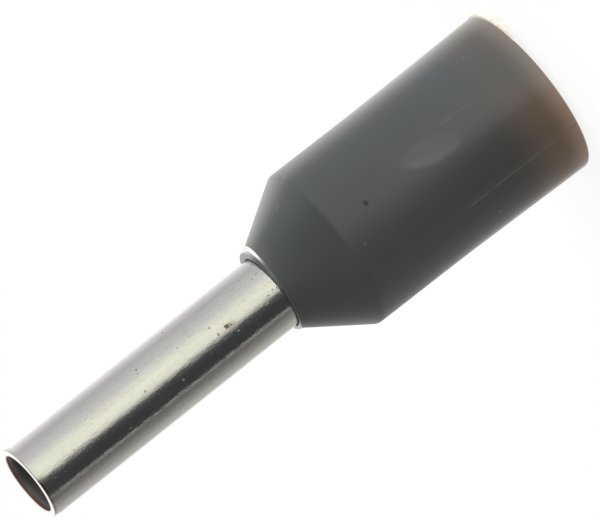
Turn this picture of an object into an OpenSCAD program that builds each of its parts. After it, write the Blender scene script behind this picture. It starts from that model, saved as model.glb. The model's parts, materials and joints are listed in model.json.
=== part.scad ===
// Insulated wire ferrule: a plated copper tube with a flared wire end, held in a
// moulded collar. Millimetres, +Z up. The origin is the centre of the collar's mouth,
// on which the ferrule stands, and the bare tube points up.

/* [Conductor tube] */
// Outside diameter of the tube
tube_d = 1.5; // [1.3:0.05:1.7]
// Wall thickness of the tube
tube_wall = 0.15; // [0.08:0.01:0.2]
// Length of bare tube beyond the collar's nose
tube_bare_l = 5.8; // [4:0.1:10]
// Diameter over the flared wire end
flare_d = 2.4; // [2.1:0.05:2.6]
// Radius of the bend where the flare begins, on its outer side
flare_bend_r = 0.15; // [0.1:0.01:0.25]
// Edge radius at both ends of the tube
tube_edge_r = 0.03; // [0.01:0.005:0.035]

/* [Collar] */
// Diameter of the bore that takes the wire's insulation
collar_bore_d = 2.8; // [2.7:0.05:3.2]
// Wall thickness of the collar's straight part
collar_wall = 0.28; // [0.22:0.01:0.4]
// Length of the collar, from mouth to nose
collar_l = 6.2; // [5.5:0.1:9]
// How much further the outside stands out at the mouth
mouth_swell = 0.055; // [0.01:0.005:0.1]
// Length over which the outside widens to the mouth
swell_l = 3; // [2:0.1:3.8]
// Extra radius of the bore at the mouth, to lead the wire in
lead_in = 0.09; // [0.03:0.01:0.12]
// Length of the lead-in
lead_in_l = 0.6; // [0.3:0.05:1.2]
// Slope of the cone and of the flare inside it, from the axis
cone_angle = 33; // [28:1:40]
// Radius where the straight part turns into the cone
shoulder_r = 0.18; // [0.05:0.01:0.4]
// Fillet inside, where the bore meets the seat of the flare
bore_fillet_r = 0.2; // [0.05:0.01:0.4]
// Edge radius of the mouth's rim
rim_r = 0.06; // [0.02:0.005:0.07]

/* [Nose] */
// Wall of the thin lip that ends the nose
lip_wall = 0.145; // [0.1:0.005:0.2]
// Length of the lip
lip_l = 0.1; // [0.06:0.01:0.16]
// Step from the lip up to the foot of the cone
lip_step = 0.035; // [0.02:0.005:0.08]
// Edge radius of the lip
lip_edge_r = 0.03; // [0.01:0.005:0.045]
// Length of nose that grips the tube
grip_l = 0.3; // [0.24:0.02:0.36]

/* [Fit] */
// Radial clearance between the tube and its seat in the collar
seat_gap = 0.01; // [0.005:0.005:0.03]

/* [Hidden] */
$fn = 96;

tube_r = tube_d / 2;
tube_bore_r = tube_r - tube_wall;
total_l = collar_l + tube_bare_l;

collar_bore_r = collar_bore_d / 2;
collar_r = collar_bore_r + collar_wall;
mouth_r = collar_r + mouth_swell;
grip_r = tube_r + seat_gap;
lip_r = grip_r + lip_wall;
lip_z = collar_l - lip_l;
cone_foot_r = lip_r + lip_step;

// Height at which the tube leaves its straight part, as its seat in the collar does.
// The tube's two walls and the seat all bend about one centre, level with this.
bend_z = collar_l - grip_l;

// Height of the sharp corner that a bend of this radius rounds off
function bend_corner_z(bend_r) = bend_z - bend_r * tan(cone_angle / 2);

// Height at radius r of a cone that widens downwards through [from_r, from_z]
function cone_z(from_r, from_z, r) = from_z - (r - from_r) / tan(cone_angle);

function unit(v) = v / norm(v);
function flat(p) = [p[0], p[1]];

// The corner at b rounded to the radius b[2], as points from a's side to c's side
function corner(a, b, c, steps = 8) =
    let (
        to_a = unit(flat(a) - flat(b)),
        to_c = unit(flat(c) - flat(b)),
        half = acos(to_a * to_c) / 2,
        centre = flat(b) + unit(to_a + to_c) * b[2] / sin(half),
        start = flat(b) + to_a * b[2] / tan(half) - centre,
        sweep = (180 - 2 * half) * sign(cross(to_c, to_a))
    )
    [for (i = [0 : steps])
        let (turn = sweep * i / steps)
        centre + [start[0] * cos(turn) - start[1] * sin(turn),
                  start[0] * sin(turn) + start[1] * cos(turn)]];

// Turns a closed outline of [radius, height, corner radius]; 0 keeps the corner sharp
module turned(points) {
    count = len(points);
    rotate_extrude()
        polygon([for (i = [0 : count - 1])
            each points[i][2] == 0
                ? [flat(points[i])]
                : corner(points[(i + count - 1) % count], points[i],
                         points[(i + 1) % count])]);
}

// Straight drawn tube whose lower end is flared into a funnel for the strands
module conductor_tube() {
    inner_bend_r = flare_bend_r + tube_wall;
    flare_r = flare_d / 2;
    flare_z = cone_z(tube_r, bend_corner_z(flare_bend_r), flare_r);
    color([0.80, 0.80, 0.77])
        turned([
            [tube_r, total_l, tube_edge_r],
            [tube_bore_r, total_l, tube_edge_r],
            [tube_bore_r, bend_corner_z(inner_bend_r), inner_bend_r],
            [flare_r - tube_wall * cos(cone_angle),
             flare_z - tube_wall * sin(cone_angle), tube_edge_r],
            [flare_r, flare_z, tube_edge_r],
            [tube_r, bend_corner_z(flare_bend_r), flare_bend_r]
        ]);
}

// Moulded sleeve: wide bore for the insulation, a cone, and a nose that grips the tube
module insulating_collar() {
    seat_bend_r = flare_bend_r - seat_gap;
    seat_z = bend_corner_z(seat_bend_r);
    color([0.33, 0.34, 0.33])
        turned([
            [collar_bore_r + lead_in, 0, rim_r],
            [mouth_r, 0, rim_r],
            [collar_r, swell_l, 0],
            [collar_r, cone_z(cone_foot_r, lip_z, collar_r), shoulder_r],
            [cone_foot_r, lip_z, lip_edge_r / 2],
            [lip_r, lip_z, 0],
            [lip_r, collar_l, lip_edge_r],
            [grip_r, collar_l, lip_edge_r],
            [grip_r, seat_z, seat_bend_r],
            [collar_bore_r, cone_z(grip_r, seat_z, collar_bore_r), bore_fillet_r],
            [collar_bore_r, lead_in_l, 0]
        ]);
}

conductor_tube();
insulating_collar();
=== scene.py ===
import json
import math

import bmesh
import bpy
from mathutils import Matrix, Vector


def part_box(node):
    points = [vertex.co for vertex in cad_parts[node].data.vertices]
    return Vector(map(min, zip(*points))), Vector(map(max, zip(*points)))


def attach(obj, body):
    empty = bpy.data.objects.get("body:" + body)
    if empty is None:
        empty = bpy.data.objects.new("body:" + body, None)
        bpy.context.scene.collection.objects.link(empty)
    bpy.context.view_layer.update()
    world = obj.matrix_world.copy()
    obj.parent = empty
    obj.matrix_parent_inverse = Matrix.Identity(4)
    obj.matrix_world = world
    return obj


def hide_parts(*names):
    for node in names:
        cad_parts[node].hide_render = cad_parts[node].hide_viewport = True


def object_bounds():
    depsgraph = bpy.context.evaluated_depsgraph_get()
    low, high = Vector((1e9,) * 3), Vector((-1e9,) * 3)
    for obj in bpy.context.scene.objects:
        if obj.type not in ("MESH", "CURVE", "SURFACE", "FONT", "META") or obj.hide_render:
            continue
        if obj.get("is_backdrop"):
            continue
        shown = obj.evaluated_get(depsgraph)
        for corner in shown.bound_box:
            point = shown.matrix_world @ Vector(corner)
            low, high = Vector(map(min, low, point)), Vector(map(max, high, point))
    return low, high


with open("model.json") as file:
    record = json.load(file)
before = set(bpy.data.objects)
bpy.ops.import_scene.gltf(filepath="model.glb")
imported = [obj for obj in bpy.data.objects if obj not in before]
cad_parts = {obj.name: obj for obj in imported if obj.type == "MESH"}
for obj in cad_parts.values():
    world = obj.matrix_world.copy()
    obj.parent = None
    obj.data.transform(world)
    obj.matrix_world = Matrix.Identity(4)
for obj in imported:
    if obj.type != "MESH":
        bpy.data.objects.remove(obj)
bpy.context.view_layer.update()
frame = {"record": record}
scene = bpy.context.scene
mm = 0.001

mounts = {mount["name"]: mount["dims"] for mount in frame["record"]["mounts"]}
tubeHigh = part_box("conductor_tube")[1] / mm
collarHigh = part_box("insulating_collar")[1] / mm
print("frame loaded")


class Wire:
    # One socket of a node tree. Sums and products of wires add Math nodes.
    def __init__(self, tree, socket=None):
        self.tree = tree
        self.socket = socket

    def add(self, kind, settings=None, values=None, output=0):
        node = self.tree.nodes.new(kind)
        for name, value in (settings or {}).items():
            if name == "stops":
                fillRamp(node.color_ramp, value)
            else:
                setattr(node, name, value)
        for name, value in (values or {}).items():
            if isinstance(value, Wire):
                self.tree.links.new(value.socket, node.inputs[name])
            else:
                node.inputs[name].default_value = value
        return Wire(self.tree, node.outputs[output] if len(node.outputs) else None)

    def other(self, output):
        return Wire(self.tree, self.socket.node.outputs[output])

    def math(self, operation, *values):
        return self.add("ShaderNodeMath", {"operation": operation}, dict(enumerate(values)))

    def __add__(self, value):
        return self.math("ADD", self, value)

    def __radd__(self, value):
        return self.math("ADD", value, self)

    def __sub__(self, value):
        return self.math("SUBTRACT", self, value)

    def __rsub__(self, value):
        return self.math("SUBTRACT", value, self)

    def __mul__(self, value):
        return self.math("MULTIPLY", self, value)

    def __rmul__(self, value):
        return self.math("MULTIPLY", value, self)

    def __truediv__(self, value):
        return self.math("DIVIDE", self, value)

    def __pow__(self, value):
        return self.math("POWER", self, value)

    def __mod__(self, value):
        return self.math("FLOORED_MODULO", self, value)

    def __neg__(self):
        return self.math("MULTIPLY", self, -1)

    def __abs__(self):
        return self.math("ABSOLUTE", self)


def fillRamp(ramp, stops):
    while len(ramp.elements) < len(stops):
        ramp.elements.new(1)
    for element, (position, color) in zip(ramp.elements, stops):
        element.position = position
        element.color = (*color, 1)


def fade(value, low, high):
    # 0 at low and 1 at high, with soft ends
    return value.add("ShaderNodeMapRange", {"interpolation_type": "SMOOTHSTEP"},
                     {"Value": value, "From Min": low, "From Max": high}, "Result")


def capped(value):
    # never above 1
    return value.math("MINIMUM", value, 1)


def blend(factor, first, second):
    # the first colour where factor is 0, the second where it is 1
    return factor.add("ShaderNodeMix", {"data_type": "RGBA"},
                      {0: factor, 6: first, 7: second}, 2)


def painted(color, scale=1):
    # a colour socket's value, made lighter or darker by scale
    return (*[scale * part for part in color], 1)


def stretched(place, scales):
    return place.add("ShaderNodeVectorMath", {"operation": "MULTIPLY"},
                     {0: place, 1: scales})


def noise(place, scales, detail=2, seed=0):
    # noise around 0.5, with so many lumps to the millimetre each way
    return place.add("ShaderNodeTexNoise", {"noise_dimensions": "4D"},
                     {"Vector": stretched(place, scales), "W": seed, "Scale": 1,
                      "Detail": detail, "Roughness": 0.55})


def cornerArc(before, here, after, rounding, steps):
    if not rounding:
        return [here]
    first = (before - here).normalized()
    second = (after - here).normalized()
    half = first.angle(second) / 2
    centre = here + (first + second).normalized() * rounding / math.sin(half)
    arm = here + first * rounding / math.tan(half) - centre
    sweep = math.copysign(math.pi - 2 * half, second.cross(first))
    return [centre + Matrix.Rotation(sweep * step / steps, 2) @ arm
            for step in range(steps + 1)]


# How far a corner of an outline follows the sideways shift, the tilt of the cone's
# foot in height and in radius, and the tilt of the shoulder.
follows = ("skin", "foot", "pull", "shoulder")


def roundedOutline(corners, steps=8, longest=0.25, hold=0.015):
    # (radius, height, rounding, *follows) corners to (radius, height, *follows)
    # points. Points close to each arc keep the flats between them looking flat.
    count = len(corners)
    arcs = []
    for index, (radius, height, rounding, *follow) in enumerate(corners):
        before = Vector(corners[index - 1][:2])
        after = Vector(corners[(index + 1) % count][:2])
        here = Vector((radius, height))
        arcs.append([(*point, *follow) for point in
                     cornerArc(before, here, after, rounding, steps)])
    outline = []
    for index, arc in enumerate(arcs):
        outline += arc
        start, end = arc[-1], arcs[(index + 1) % count][0]
        length = math.dist(start[:2], end[:2])
        if length > 4 * hold:
            pieces = math.ceil((length - 2 * hold) / longest)
            for step in range(pieces + 1):
                share = (hold + (length - 2 * hold) * step / pieces) / length
                outline.append(tuple(first + (last - first) * share
                                     for first, last in zip(start, end)))
    return outline


def newTree(name, inputs):
    # a Geometry Nodes tree with these named inputs, as wires
    tree = bpy.data.node_groups.new(name, "GeometryNodeTree")
    tree.interface.new_socket("Geometry", in_out="OUTPUT", socket_type="NodeSocketGeometry")
    for label, kind in inputs.items():
        tree.interface.new_socket(label, in_out="INPUT", socket_type="NodeSocket" + kind)
    entry = tree.nodes.new("NodeGroupInput")
    return tree, {label: Wire(tree, entry.outputs[label]) for label in inputs}


def closeTree(tree, geometry, material):
    board = Wire(tree)
    smooth = board.add("GeometryNodeSetShadeSmooth", values={"Geometry": geometry})
    real = board.add("GeometryNodeRealizeInstances", values={"Geometry": smooth})
    finished = board.add("GeometryNodeSetMaterial",
                         values={"Geometry": real, "Material": material})
    board.add("NodeGroupOutput", values={"Geometry": finished})


def turningTree():
    # turns an outline of points about the axis. Its points' named values say how far
    # each follows the shift, from Foot Shift to Head Shift, and the two tilts.
    tree, given = newTree("turnOutline", {
        "Outline": "Geometry", "Segments": "Int", "Height": "Float",
        "Foot Shift": "Float", "Head Shift": "Float", "Foot Rise": "Float",
        "Foot Tilt X": "Float", "Foot Tilt Y": "Float", "Shoulder Tilt X": "Float",
        "Cone Slope": "Float", "Material": "Material"})
    board = Wire(tree)
    outline = given["Outline"]
    count = board.add("GeometryNodeAttributeDomainSize", {"component": "MESH"},
                      {"Geometry": outline}, "Point Count")
    rows = count + 1
    grid = board.add("GeometryNodeMeshGrid",
                     values={"Vertices X": given["Segments"] + 1, "Vertices Y": rows})
    index = board.add("GeometryNodeInputIndex")
    column = board.math("FLOOR", index / rows)
    spot = (index - column * rows) % count
    point = board.add("GeometryNodeSampleIndex", {"data_type": "FLOAT_VECTOR"},
                      {"Geometry": outline, "Index": spot,
                       "Value": board.add("GeometryNodeInputPosition")})
    skin, foot, pull, shoulder = [
        board.add("GeometryNodeSampleIndex", {"data_type": "FLOAT"},
                  {"Geometry": outline, "Index": spot,
                   "Value": board.add("GeometryNodeInputNamedAttribute",
                                      {"data_type": "FLOAT"}, {"Name": name})})
        for name in follows]
    flat = board.add("ShaderNodeSeparateXYZ", values={"Vector": point}, output="X")
    height = flat.other("Z")
    turn = column / given["Segments"] * (2 * math.pi)
    along, across = board.math("COSINE", turn), board.math("SINE", turn)
    share = height / given["Height"]
    shift = skin * (given["Foot Shift"] * (1 - share) + given["Head Shift"] * share)
    tilt = given["Foot Rise"] + given["Foot Tilt X"] * along + given["Foot Tilt Y"] * across
    radius = flat - pull * tilt * given["Cone Slope"]
    placed = board.add("ShaderNodeCombineXYZ", values={
        "X": radius * along + shift, "Y": radius * across,
        "Z": height + foot * tilt + shoulder * given["Shoulder Tilt X"] * along})
    shaped = board.add("GeometryNodeSetPosition", values={"Geometry": grid, "Position": placed})
    merged = board.add("GeometryNodeMergeByDistance",
                       values={"Geometry": shaped, "Distance": 1e-8})
    closeTree(tree, merged, given["Material"])
    return tree


def runTree(name, tree, source, values):
    # a plain mesh object from the tree's result, with its faces outwards
    piece = bpy.data.objects.new(name, source)
    scene.collection.objects.link(piece)
    modifier = piece.modifiers.new("nodes", "NODES")
    modifier.node_group = tree
    for item in tree.interface.items_tree:
        if item.in_out == "INPUT" and item.name in values:
            modifier[item.identifier] = values[item.name]
    depsgraph = bpy.context.evaluated_depsgraph_get()
    mesh = bpy.data.meshes.new_from_object(piece.evaluated_get(depsgraph),
                                           depsgraph=depsgraph)
    piece.modifiers.clear()
    piece.data = mesh
    mesh.name = name
    shell = bmesh.new()
    shell.from_mesh(mesh)
    bmesh.ops.recalc_face_normals(shell, faces=shell.faces)
    shell.to_mesh(mesh)
    shell.free()
    return piece


def turnedPiece(name, corners, material, segments, values):
    outline = roundedOutline(corners)
    source = bpy.data.meshes.new(name + "Outline")
    source.from_pydata([(point[0] * mm, 0, point[1] * mm) for point in outline], [], [])
    for place, label in enumerate(follows):
        source.attributes.new(label, "FLOAT", "POINT").data.foreach_set(
            "value", [point[2 + place] for point in outline])
    return runTree(name, turningTree(), source,
                   {"Segments": segments, "Material": material, **values})


def newMaterial(name, preview):
    # an empty node material and the wire that its nodes are added from
    material = bpy.data.materials.new(name)
    material.diffuse_color = (*preview, 1)
    material.use_nodes = True
    material.node_tree.nodes.clear()
    return material, Wire(material.node_tree)


def distance(across, away):
    return across.math("SQRT", across * across + away * away)


def surfacePlace(board):
    # place in millimetres, then turn in degrees, height and distance from the axis
    place = board.add("ShaderNodeVectorMath", {"operation": "SCALE"},
                      {0: board.add("ShaderNodeTexCoord", output="Object"), "Scale": 1 / mm})
    across = board.add("ShaderNodeSeparateXYZ", values={"Vector": place}, output="X")
    away, height = across.other("Y"), across.other("Z")
    turn = board.math("ARCTAN2", -across, -away) * (180 / math.pi)
    return place, turn, height, distance(across, away)


def markMask(turn, height, ragged, radius, mark):
    # 1 inside a mark and 0 outside: (turn, height, half width, half length)
    across = (turn - mark[0]) * (radius * math.pi / 180 / mark[2])
    along = (height - mark[1]) / mark[3]
    reach = across * across + along * along + ragged
    return fade(reach, 1.25, 0.35)


def allMarks(turn, height, ragged, radius, marks):
    # the marks together, each as strong as its last number says
    total = 0
    for mark in marks:
        total = markMask(turn, height, ragged, radius, mark) * mark[4] + total
    return total


tin = {
    "color": (0.82, 0.815, 0.79),
    "worn": (0.62, 0.615, 0.58),
    "cutColor": (0.97, 0.96, 0.94),
    "copper": (0.42, 0.16, 0.11),
    "boreColor": (0.215, 0.215, 0.22),
    "boreEdge": (0.26, 0.12, 0.085),
    "pitColor": (0.17, 0.165, 0.15),
    "pitDepth": 0.0015,
    "fineDepth": 0.6,
    "roughness": 0.085,
    "boreRoughness": 0.55,
    "streaks": (22, 22, 1.1),
    "grains": (30, 30, 13),
    "lumps": (9, 9, 3.5),
    "mottle": (15, 15, 9),
    "streakHeight": 0.0010,
    "grainHeight": 0.0019,
    "lumpHeight": 0.004,
    "glintHeight": 0.0025,
    "fleckHeight": 0.0007,
    # marks: turn, height, half width, half length and strength
    "pits": [
        (-36.7, 6.35, 0.022, 0.022, 1), (-34.1, 6.47, 0.018, 0.02, 1),
        (-46.1, 6.66, 0.02, 0.022, 0.8), (-41.0, 6.87, 0.012, 0.07, 0.4),
        (-0.4, 6.24, 0.022, 0.024, 1), (-2.5, 6.33, 0.02, 0.024, 1),
        (0.3, 6.45, 0.018, 0.03, 0.9), (-57.6, 6.25, 0.02, 0.03, 0.8),
        (-15.8, 7.7, 0.022, 0.026, 0.9), (-0.5, 7.64, 0.024, 0.028, 1),
        (-63.0, 8.35, 0.022, 0.03, 0.9), (-35.4, 9.23, 0.02, 0.024, 1),
        (-29.1, 9.26, 0.016, 0.024, 0.9), (-50.1, 9.37, 0.016, 0.02, 0.7),
        (-22.2, 8.39, 0.016, 0.024, 0.7), (-1.8, 9.38, 0.02, 0.03, 0.8)],
    "glints": [
        (9.8, 6.57, 0.02, 0.03, 1), (20.0, 8.67, 0.022, 0.03, 1),
        (14.0, 7.3, 0.018, 0.025, 0.7), (26.6, 10.0, 0.016, 0.03, 0.7)],
    "speck": (-1.7, 7.41, 0.045, 0.085, 1),
    "speckHalo": (-1.2, 7.36, 0.07, 0.15, 1),
    "speckColor": (0.14, 0.10, 0.04),
    "stain": (0.5, 0.42, 0.2),
}


def tinPlate():
    material, board = newMaterial("tinPlate", tin["color"])
    place, turn, height, radius = surfacePlace(board)
    top = tubeHigh.z
    wallMiddle = (mounts["contact_tube"]["r_mm"] + mounts["conductor_bore"]["r_mm"]) / 2
    streaks = noise(place, tin["streaks"], 4, 1)
    grains = noise(place, tin["grains"], 3, 2)
    lumps = noise(place, tin["lumps"], 3, 5)
    clouds = noise(place, (1.6, 1.6, 0.5), 2, 3)
    across = board.add("ShaderNodeSeparateXYZ", values={"Vector": place}, output="X")
    bent = fade(height, top - tube["boreBellLength"], top - tube["edge"]) * tube["tipShift"]
    inner = distance(across - bent, across.other("Y"))
    bore = fade(inner, wallMiddle - 0.015, wallMiddle - 0.03)
    cut = fade(height, top - 0.012, top - 0.004)
    nearTip = fade(height, top - 0.08, top - 0.02) * (1 - cut)
    ragged = (grains - 0.5) * 5
    pits = allMarks(turn, height, ragged, tube["radius"], tin["pits"])
    clusters = fade(noise(place, (2.2, 2.2, 1.1), 2, 7), 0.46, 0.62)
    fine = fade(noise(place, (30, 30, 20), 1, 6), 0.66, 0.72) * clusters
    speck = markMask(turn, height, ragged, tube["radius"], tin["speck"])
    halo = markMask(turn, height, ragged, tube["radius"], tin["speckHalo"])
    glints = allMarks(turn, height, ragged, tube["radius"], tin["glints"])
    flecks = fade(noise(place, (24, 24, 15), 1, 9), 0.66, 0.74)

    tone = fade(clouds, 0.3, 0.7)
    plate = blend(tone, painted(tin["color"], 0.96), painted(tin["color"]))
    mottle = noise(place, tin["mottle"], 3, 8)
    lined = blend(fade(streaks, 0.45, 0.75) * 0.3 + fade(lumps, 0.5, 0.75) * 0.12
                  + fade(mottle, 0.42, 0.7) * 0.28, plate, painted(tin["worn"]))
    dark = capped(pits + fine * tin["fineDepth"]) * 0.7
    pitted = blend(dark, lined, painted(tin["pitColor"]))
    stained = blend(halo * 0.35, pitted, painted(tin["stain"]))
    redSide = fade(turn, -4, 6) * fade(turn, 85, 50) * 0.75 + 0.1
    copper = nearTip * redSide * fade(noise(place, (5, 5, 2), 2, 4), 0.3, 0.5)
    edged = blend(copper, stained, painted(tin["copper"]))
    inside = blend(fade(height, top - 0.1, top - 0.015), painted(tin["boreColor"]),
                   painted(tin["boreEdge"]))
    dulled = blend(bore * (1 - cut), edged, inside)
    fresh = blend(cut, dulled, painted(tin["cutColor"]))
    color = blend(speck, fresh, painted(tin["speckColor"]))

    rough = (tin["roughness"] + (grains - 0.5) * 0.08 + (streaks - 0.5) * 0.06
             + pits * 0.2 + fine * 0.15 + speck * 0.4)
    roughness = rough * (1 - bore) + bore * tin["boreRoughness"]
    relief = (streaks * tin["streakHeight"] + grains * tin["grainHeight"]
              + lumps * tin["lumpHeight"] - pits * tin["pitDepth"] - fine * 0.001
              + glints * tin["glintHeight"] + flecks * tin["fleckHeight"])
    normal = board.add("ShaderNodeBump", values={"Distance": mm, "Height": relief},
                       output="Normal")
    metal = 1 - bore * 0.35 - speck * 0.8
    shader = board.add("ShaderNodeBsdfPrincipled", values={
        "Base Color": color, "Roughness": roughness, "Metallic": metal,
        "Normal": normal})
    board.add("ShaderNodeOutputMaterial", values={"Surface": shader})
    return material


# the tinned tube: a straight tip, a slight bell at the cut and a flare in the collar
tube = {
    "radius": mounts["contact_tube"]["r_mm"],
    "boreRadius": mounts["conductor_bore"]["r_mm"],
    "top": tubeHigh.z,
    "flareRadius": tubeHigh.x,
    "flareAngle": 33,
    "bendRadius": 0.15,
    "gripLength": 0.3,
    "edge": 0.03,
    "bell": 0.014,
    "bellLength": 0.2,
    "boreBell": 0.03,
    "boreBellLength": 0.12,
    "tipShift": 0.028,
    "segments": 256,
}


def coneHeight(fromRadius, fromHeight, radius):
    return fromHeight - (radius - fromRadius) / math.tan(math.radians(tube["flareAngle"]))


def tubeCorners():
    wall = tube["radius"] - tube["boreRadius"]
    angle = math.radians(tube["flareAngle"])
    bendHeight = collarHigh.z - tube["gripLength"]
    outerBend = bendHeight - tube["bendRadius"] * math.tan(angle / 2)
    innerBend = bendHeight - (tube["bendRadius"] + wall) * math.tan(angle / 2)
    flareHeight = coneHeight(tube["radius"], outerBend, tube["flareRadius"])
    still, tip = (0, 0, 0, 0), (1, 0, 0, 0)
    return [
        (tube["radius"] + tube["bell"], tube["top"], tube["edge"], *tip),
        (tube["boreRadius"] + tube["boreBell"], tube["top"], tube["edge"], *tip),
        (tube["boreRadius"], tube["top"] - tube["boreBellLength"], 0.3, *still),
        (tube["boreRadius"], innerBend, tube["bendRadius"] + wall, *still),
        (tube["flareRadius"] - wall * math.cos(angle),
         flareHeight - wall * math.sin(angle), tube["edge"], *still),
        (tube["flareRadius"], flareHeight, tube["edge"], *still),
        (tube["radius"], outerBend, tube["bendRadius"], *still),
        (tube["radius"], tube["top"] - tube["bellLength"], 0.8, *still)]


tubePiece = turnedPiece("tinTube", tubeCorners(), tinPlate(), tube["segments"],
                        {"Height": tube["top"] * mm, "Head Shift": tube["tipShift"] * mm})
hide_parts("conductor_tube")
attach(tubePiece, "root")
print("tube turned:", len(tubePiece.data.polygons), "faces")


plastic = {
    "color": (0.0535, 0.0585, 0.0585),
    # the next three colours are painted glow near the mouth
    "warm": (0.125, 0.088, 0.062),
    "rim": (0.30, 0.21, 0.155),
    "leftRim": (0.19, 0.178, 0.155),
    "brown": (0.0575, 0.057, 0.0525),
    # painted light on the collar's flanks
    "edge": (0.30, 0.295, 0.285),
    # painted highlight along the mouth's edge
    "rimLine": (0.46, 0.40, 0.34),
    "lip": (0.064, 0.064, 0.059),
    # painted highlights at the lip's two ends
    "leftLip": (0.33, 0.31, 0.33),
    "rightLip": (0.85, 0.84, 0.83),
    # painted highlight in the groove at the cone's foot
    "footLine": (0.88, 0.87, 0.86),
    "footGlow": (0.10, 0.098, 0.088),
    "scuff": (0.12, 0.124, 0.122),
    "dark": (0.012, 0.012, 0.012),
    "roughness": 0.36,
    "mouthRoughness": 0.20,
    "grain": (9, 9, 6),
    "grainHeight": 0.0012,
    "dot": (-7.2, 4.16, 0.055, 0.055, 1),
    "specks": [
        (12.5, 4.64, 0.03, 0.025, 0.5), (57.6, 2.08, 0.035, 0.03, 0.7),
        (-44.6, 0.89, 0.03, 0.025, 0.6), (-67.7, 0.45, 0.02, 0.02, 0.5)],
    "scuffs": [
        (-63.0, 4.87, 0.05, 0.12, 0.6), (-67.6, 5.24, 0.04, 0.10, 0.5),
        (-54.1, 5.32, 0.04, 0.05, 0.5), (-16.5, 2.02, 0.05, 0.14, 0.2),
        (-16.6, 1.68, 0.025, 0.1, 0.18), (-15.9, 1.52, 0.02, 0.13, 0.16)],
    # a painted highlight where a shallow dent catches the light: its middle turn and height,
    # half width, half length and lean
    "smear": (-7.6, 2.6, 0.25, 0.62, 12),
    "dragTurn": 36.9,
    "dragTop": 2.6,
}


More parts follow.
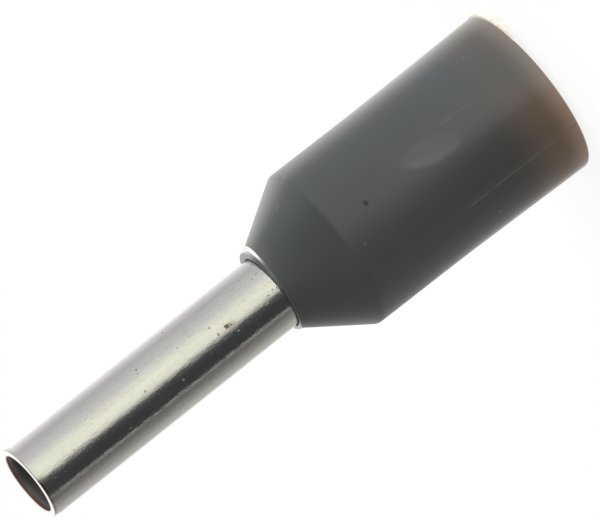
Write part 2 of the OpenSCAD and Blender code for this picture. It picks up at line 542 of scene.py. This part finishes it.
def collarPlastic():
    material, board = newMaterial("collarPlastic", plastic["color"])
    place, turn, height, radius = surfacePlace(board)
    side = collar["boreRadius"] + collar["wall"]
    gripRadius = tube["radius"] + collar["seatGap"]
    clouds = noise(place, (1.1, 1.1, 0.8), 3, 11)
    grain = noise(place, plastic["grain"], 4, 12)
    fineGrain = noise(place, (30, 30, 30), 2, 13)
    ragged = (fineGrain - 0.5) * 2.5
    dot = markMask(turn, height, ragged, side, plastic["dot"])
    specks = allMarks(turn, height, ragged, side, plastic["specks"])
    scuffs = allMarks(turn, height, ragged, side, plastic["scuffs"])

    wander = turn - plastic["dragTurn"] + (noise(place, (2, 2, 2), 1, 15) - 0.5) * 1.6
    drag = (fade(abs(wander), 1.2, 0.35)
            * fade(height, plastic["dragTop"] + 0.08, plastic["dragTop"])
            * fade(height, -0.1, 0.1)
            * fade(noise(place, (8, 8, 3), 2, 14), 0.25, 0.5))
    # the painted dent highlight, stronger on its darker side
    middle, rise, halfWidth, halfLength, lean = plastic["smear"]
    aside = ((turn - middle) * (side * math.pi / 180)
             + (noise(place, (3, 3, 3), 2, 16) - 0.5) * 0.1)
    below = rise - height
    slope = math.radians(lean)
    along = (aside * math.sin(slope) + below * math.cos(slope)) / halfLength
    across = (aside * math.cos(slope) - below * math.sin(slope)) / halfWidth
    reach = across * across + along * along
    smear = fade(reach, 1.35, 0.45) * (fade(across, -0.3, 0.6) * 0.26 + 0.18)

    tone = fade(clouds, 0.25, 0.75)
    grey = blend(tone, painted(plastic["color"], 0.96), painted(plastic["color"], 1.04))
    shaded = blend(fade(height, 2.8, 4.4) * fade(height, 6, 5.2)
                   * fade(abs(turn + 8), 30, 8), grey, painted(plastic["color"], 0.9))
    leftBack, rightBack = fade(turn, -175, -110), fade(turn, 175, 115)
    brown = blend(fade(turn, -10, 15) * fade(height, 5, 3) * rightBack, shaded,
                  painted(plastic["brown"]))
    # painted light: the left side made lighter towards the mouth
    leftLightPainted = blend(fade(height, 3.5, 0.8) * fade(turn, 15, -10) * leftBack, brown,
                 painted(plastic["color"], 1.17))
    edgeLit = blend(fade(turn, -50, -90) * fade(turn, -135, -95) * 0.55
                    + fade(turn, 62, 90) * fade(turn, 135, 95) * 0.2, leftLightPainted,
                    painted(plastic["edge"]))
    # painted glow near the mouth, standing in for light through the plastic: warm, strongest on
    # the right side and lightest at the rim
    sunny = fade(turn, -15, 20) * fade(turn, 175, 120) * 0.75 + 0.25
    mouthGlowPainted = blend(sunny * fade(height, 1.5, 0.45), edgeLit, painted(plastic["warm"]))
    rimGlowColor = blend(sunny, painted(plastic["leftRim"]), painted(plastic["rim"]))
    rimmed = blend((sunny * 0.4 + 0.6) * fade(height, 0.6, -0.05) ** 1.6, mouthGlowPainted, rimGlowColor)
    # a painted highlight along the mouth's rounded edge
    rimmed = blend(fade(height, 0.03, 0.005) * 0.8, rimmed, painted(plastic["rimLine"]))

    east = board.add("ShaderNodeSeparateXYZ", values={"Vector": place}, output="X")
    tiltX, tiltY = collar["footTilt"]
    foot = ((east * tiltX + east.other("Y") * tiltY) / radius
            + (collar["top"] - collar["lipLength"] + collar["footRise"]))
    above = height - foot
    outside = fade(radius, gripRadius + 0.01, gripRadius + 0.03)
    glow = fade(above, -0.4, 0) ** 2 * fade(turn, 20, -40) * leftBack
    glowing = blend(glow * 0.5, rimmed, painted(plastic["footGlow"]))
    lipMask = fade(above, -0.004, 0.008) * fade(radius, 0.97, 0.95)
    # painted highlights at the lip's ends: light grey on the left, near white on the right
    leftLip = blend(fade(turn, -40, -72) * leftBack, painted(plastic["lip"]),
                    painted(plastic["leftLip"]))
    lipColor = blend(fade(turn, 62, 85) * rightBack, leftLip, painted(plastic["rightLip"]))
    lipped = blend(lipMask * outside, glowing, lipColor)
    # a painted highlight along the groove at the cone's foot, mostly on the left
    line = (fade(abs(above - 0.006), 0.030, 0.010) * outside
            * (fade(turn, -26, -60) * 0.94 + fade(turn, 10, -20) * 0.06) * leftBack)
    lipped = blend(line, lipped, painted(plastic["footLine"]))
    # scuffs, specks and the drag line are real marks; the dent's share of this lighter colour
    # is a painted highlight
    scuffedAndHighlit = blend(scuffs + specks + drag * 0.4 + smear, lipped,
                    painted(plastic["scuff"]))
    color = blend(dot * 0.9, scuffedAndHighlit, painted(plastic["dark"]))
    roughness = (plastic["mouthRoughness"]
                 + fade(height, 1.8, 4.2) * (plastic["roughness"] - plastic["mouthRoughness"])
                 + (grain - 0.5) * 0.05 - lipMask * 0.1)
    relief = (grain * plastic["grainHeight"] + fineGrain * 0.0003 - dot * 0.004
              + drag * 0.003 + specks * 0.003)
    normal = board.add("ShaderNodeBump", values={"Distance": mm, "Height": relief},
                       output="Normal")
    shader = board.add("ShaderNodeBsdfPrincipled", values={
        "Base Color": color, "Roughness": roughness, "Normal": normal})
    board.add("ShaderNodeOutputMaterial", values={"Surface": shader})
    return material


# the grey collar: mouth at the bottom, then the cone, the foot and the thin lip
collar = {
    "boreRadius": mounts["wire_entry"]["r_mm"],
    "wall": 0.28,
    "mouthRadius": collarHigh.x,
    "top": collarHigh.z,
    "swellLength": 3,
    "swellBend": 60,
    "leadIn": 0.09,
    "leadInLength": 0.6,
    "shoulder": 0.18,
    "boreFillet": 0.2,
    "rim": 0.06,
    "seatGap": 0.01,
    "lipWall": 0.10,
    "lipLength": 0.1,
    "lipStep": 0.045,
    "lipEdge": 0.03,
    "lipFlare": 0.045,
    "footShift": -0.037,
    "headShift": 0.024,
    "footRise": 0.0125,
    "footTilt": (-0.0525, -0.075),
    "shoulderTilt": -0.045,
    "segments": 256,
}


def collarCorners():
    radius = collar["boreRadius"] + collar["wall"]
    gripRadius = tube["radius"] + collar["seatGap"]
    lipRadius = gripRadius + collar["lipWall"]
    lipHeight = collar["top"] - collar["lipLength"]
    coneFoot = lipRadius + collar["lipStep"]
    seatBend = tube["bendRadius"] - collar["seatGap"]
    seatHeight = (collar["top"] - tube["gripLength"]
                  - seatBend * math.tan(math.radians(tube["flareAngle"]) / 2))
    still, body = (0, 0, 0, 0), (1, 0, 0, 0)
    return [
        (collar["boreRadius"] + collar["leadIn"], 0, collar["rim"], *still),
        (collar["mouthRadius"], 0, collar["rim"], *body),
        (radius, collar["swellLength"], collar["swellBend"], *body),
        (radius, coneHeight(coneFoot, lipHeight, radius), collar["shoulder"], 1, 0, 0, 1),
        (coneFoot, lipHeight, 0.012, 1, 1, 1, 0),
        (lipRadius, lipHeight, 0, 0.6, 1, 0.5, 0),
        (lipRadius + collar["lipFlare"], collar["top"], collar["lipEdge"], 0.6, 0, 0.5, 0),
        (gripRadius, collar["top"], collar["lipEdge"], *still),
        (gripRadius, seatHeight, seatBend, *still),
        (collar["boreRadius"], coneHeight(gripRadius, seatHeight, collar["boreRadius"]),
         collar["boreFillet"], *still),
        (collar["boreRadius"], collar["leadInLength"], 0, *still)]


collarPiece = turnedPiece("greyCollar", collarCorners(), collarPlastic(), collar["segments"], {
    "Height": collar["top"] * mm,
    "Foot Shift": collar["footShift"] * mm, "Head Shift": collar["headShift"] * mm,
    "Foot Rise": collar["footRise"] * mm, "Foot Tilt X": collar["footTilt"][0] * mm,
    "Foot Tilt Y": collar["footTilt"][1] * mm,
    "Shoulder Tilt X": collar["shoulderTilt"] * mm,
    "Cone Slope": math.tan(math.radians(tube["flareAngle"]))})
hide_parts("insulating_collar")
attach(collarPiece, "root")
print("collar turned:", len(collarPiece.data.polygons), "faces")


# moulding flash left on the mouth's rim
flash = {
    "radius": 1.70,
    "height": 0.03,
    "fromTurn": -103,
    "toTurn": -30,
    "thickness": 0.022,
    "depth": 0.19,
    "lean": 30,
    "seed": 4,
    "color": (0.80, 0.75, 0.68),
    "warm": (0.62, 0.50, 0.40),
}


def finTree():
    # a thin ragged fin that hangs from an arc and runs out at both ends
    tree, given = newTree("ringFin", {
        "Radius": "Float", "Height": "Float", "Start": "Float", "Sweep": "Float",
        "Thickness": "Float", "Depth": "Float", "Lean": "Float", "Seed": "Float",
        "Material": "Material"})
    board = Wire(tree)
    arc = board.add("GeometryNodeCurveArc", {"mode": "RADIUS"}, {
        "Resolution": 140, "Radius": given["Radius"], "Start Angle": given["Start"],
        "Sweep Angle": given["Sweep"]})
    lift = board.add("ShaderNodeCombineXYZ", values={"Z": given["Height"]})
    raised = board.add("GeometryNodeSetPosition", values={"Geometry": arc, "Offset": lift})
    upright = board.add("GeometryNodeSetCurveNormal", {"mode": "Z_UP"}, {"Curve": raised})
    share = board.add("GeometryNodeSplineParameter", output="Factor")
    wave = board.add("ShaderNodeTexNoise", {"noise_dimensions": "1D"},
                     {"W": share * 14 + given["Seed"], "Scale": 1, "Detail": 3})
    wide = board.math("SINE", share * math.pi)
    arch = board.math("MAXIMUM", wide, 0) ** 0.7
    size = arch * (wave * 0.9 + 0.45) + 0.02
    circle = board.add("GeometryNodeCurvePrimitiveCircle", {"mode": "RADIUS"},
                       {"Resolution": 10, "Radius": 0.5})
    flat = board.add("ShaderNodeCombineXYZ", values={"X": given["Thickness"],
                                                     "Y": given["Depth"], "Z": 1})
    drop = board.add("ShaderNodeCombineXYZ", values={"Y": given["Depth"] * 0.5})
    blade = board.add("GeometryNodeTransform", values={
        "Geometry": circle, "Scale": flat, "Translation": drop})
    leant = board.add("GeometryNodeTransform", values={
        "Geometry": blade,
        "Rotation": board.add("ShaderNodeCombineXYZ", values={"Z": given["Lean"]})})
    fin = board.add("GeometryNodeCurveToMesh", values={
        "Curve": upright, "Profile Curve": leant, "Scale": size, "Fill Caps": True})
    closeTree(tree, fin, given["Material"])
    return tree


def paleFlash():
    material, board = newMaterial("paleFlash", flash["color"])
    place, turn, height, radius = surfacePlace(board)
    tone = fade(noise(place, (7, 7, 7), 3, 21), 0.35, 0.65)
    root = fade(height, -0.05, 0.02)
    color = blend(capped(tone * 0.4 + root * 0.6),
                  painted(flash["color"]), painted(flash["warm"]))
    grain = noise(place, (20, 20, 20), 2, 22)
    normal = board.add("ShaderNodeBump", values={"Distance": mm, "Height": grain * 0.002},
                       output="Normal")
    shader = board.add("ShaderNodeBsdfPrincipled", values={
        "Base Color": color, "Roughness": grain * 0.2 + 0.3, "Normal": normal})
    board.add("ShaderNodeOutputMaterial", values={"Surface": shader})
    return material


flashPiece = runTree("mouthFlash", finTree(), bpy.data.meshes.new("mouthFlashSource"), {
    "Radius": flash["radius"] * mm, "Height": flash["height"] * mm,
    "Start": math.radians(-flash["fromTurn"] - 90),
    "Sweep": math.radians(flash["fromTurn"] - flash["toTurn"]),
    "Thickness": flash["thickness"] * mm, "Depth": flash["depth"] * mm,
    "Lean": math.radians(flash["lean"]), "Seed": flash["seed"], "Material": paleFlash()})
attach(flashPiece, "root")
print("flash made:", len(flashPiece.data.polygons), "faces")


camera = {
    "elevation": 13.5,
    "roll": 128.45,
    "lens": 800,
    "distance": 244.7,
    "target": (0.145, 0, 5.394),
}


def makeCamera():
    elevation, roll = (math.radians(camera[name]) for name in ("elevation", "roll"))
    back = Vector((0, -math.cos(elevation), math.sin(elevation)))
    side = Vector((1, 0, 0))
    above = back.cross(side)
    right = side * math.cos(roll) + above * math.sin(-roll)
    up = back.cross(right)
    data = bpy.data.cameras.new("camera")
    data.lens = camera["lens"]
    data.clip_start = 0.01
    data.clip_end = 10
    item = bpy.data.objects.new("camera", data)
    scene.collection.objects.link(item)
    turn = Matrix((right, up, back)).transposed().to_4x4()
    place = Vector(camera["target"]) * mm + back * camera["distance"] * mm
    item.matrix_world = Matrix.Translation(place) @ turn
    scene.camera = item


makeCamera()


studio = {
    "floorHalf": 3,
    "floorGlow": 0.8,
    "floorStrength": 1.08,
    "ambient": 0.5,
    "frontSky": 0.25,
    "backSky": 1.0,
    "rightSkyDrop": 0.85,
    "leftSkyDrop": 0.4,
    "key": {"turn": -62, "elevation": 8, "distance": 120, "size": 70, "strength": 0.92},
    "side": {"turn": -122, "elevation": 8, "distance": 120, "size": 50, "strength": 0.5},
    # brightness of the surroundings by turn, with a tint where they have one
    "surroundings": [
        (-180, 1.0, 0), (-156, 0.97, 0), (-145, 0.88, 0), (-123, 0.68, 1), (-103, 0.53, 1),
        (-86, 0.59, 1), (-72, 0.63, 0), (-58.6, 0.69, 0), (-46, 0.81, -1), (-34, 0.93, -2),
        (-22.6, 1.0, -2), (-2, 0.92, -2), (3.5, 0.75, -2), (7, 0.54, -1), (10, 0.39, -1),
        (12.7, 0.245, 0), (15.3, 0.145, 0), (19.5, 0.088, 0), (26, 0.06, 2), (40, 0.049, 2),
        (56, 0.05, 2), (61, 0.05, 0), (64.6, 0.07, 0), (66.8, 0.37, 0), (69, 0.36, 0),
        (71, 0.165, 0), (80, 0.16, 3), (94.4, 0.24, 3), (112, 0.355, 3), (123.4, 0.45, 3),
        (145, 0.53, 0), (180, 1.0, 0)],
    "tints": {1: (1.01, 0.985, 1.0), 0: (1, 1, 1), -1: (1.0, 1.0, 0.95),
              -2: (1.0, 1.0, 0.86), 2: (0.96, 1.0, 1.02), 3: (1.01, 1.0, 0.95)},
}


def makeFloor(height):
    half = studio["floorHalf"]
    mesh = bpy.data.meshes.new("floor")
    mesh.from_pydata([(-half, -half, height), (half, -half, height),
                      (half, half, height), (-half, half, height)], [], [(0, 1, 2, 3)])
    floor = bpy.data.objects.new("floor", mesh)
    scene.collection.objects.link(floor)
    material, board = newMaterial("paleFloor", (1, 1, 1))
    glow = board.add("ShaderNodeEmission", values={
        "Color": (1, 1, 1, 1), "Strength": studio["floorStrength"]})
    matte = board.add("ShaderNodeBsdfDiffuse", values={"Color": (0.95, 0.95, 0.95, 1)})
    mixed = board.add("ShaderNodeMixShader",
                      values={0: 1 - studio["floorGlow"], 1: glow, 2: matte})
    board.add("ShaderNodeOutputMaterial", values={"Surface": mixed})
    mesh.materials.append(material)
    floor.visible_glossy = False
    floor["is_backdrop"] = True


def aimedPlace(turn, elevation, distance):
    turn, elevation = math.radians(turn), math.radians(elevation)
    out = Vector((-math.sin(turn) * math.cos(elevation),
                  -math.cos(turn) * math.cos(elevation), math.sin(elevation)))
    middle = Vector((0, 0, tubeHigh.z / 2 * mm))
    facing = out.to_track_quat("Z", "Y").to_matrix().to_4x4()
    return Matrix.Translation(middle + out * distance) @ facing


def makeLamp(name, sizes):
    data = bpy.data.lights.new(name, "AREA")
    data.shape = "DISK"
    data.size = sizes["size"] * mm
    distance = sizes["distance"] * mm
    data.energy = sizes["strength"] * (math.pi * distance) ** 2
    lamp = bpy.data.objects.new(name, data)
    scene.collection.objects.link(lamp)
    lamp.matrix_world = aimedPlace(sizes["turn"], sizes["elevation"], distance)
    lamp.visible_glossy = False


def makeSurroundings():
    world = bpy.data.worlds.new("studio")
    world.use_nodes = True
    world.node_tree.nodes.clear()
    scene.world = world
    board = Wire(world.node_tree)
    across = board.add("ShaderNodeSeparateXYZ", values={
        "Vector": board.add("ShaderNodeTexCoord", output="Generated")}, output="X")
    away, rise = across.other("Y"), across.other("Z")
    turn = board.math("ARCTAN2", -across, -away) / (2 * math.pi) + 0.5
    stops = [(angle / 360 + 0.5, [light * part for part in studio["tints"][tint]])
             for angle, light, tint in studio["surroundings"]]
    ring = board.add("ShaderNodeValToRGB", {"stops": stops}, {"Fac": turn})
    sides = (fade(across, -0.3, -0.7) * studio["rightSkyDrop"]
             + fade(across, 0.3, 0.7) * studio["leftSkyDrop"])
    white = (1, 1, 1)
    sky = blend(fade(away, -0.15, 0.05) * (1 - sides), painted(white, studio["frontSky"]),
                painted(white, studio["backSky"]))
    seen = blend(fade(rise, 0.3, 0.55), ring, sky)
    ways = board.add("ShaderNodeLightPath", output="Is Camera Ray")
    mirrored = blend(ways.other("Is Glossy Ray"), painted(white, studio["ambient"]), seen)
    direct = board.math("MAXIMUM", ways, ways.other("Is Transmission Ray"))
    color = blend(direct, mirrored, painted(white))
    light = board.add("ShaderNodeBackground", values={"Color": color, "Strength": 1})
    board.add("ShaderNodeOutputWorld", values={"Surface": light})


makeFloor(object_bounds()[0][2])
makeLamp("key", studio["key"])
makeLamp("side", studio["side"])
makeSurroundings()
scene.view_settings.view_transform = "Standard"
print("studio set")
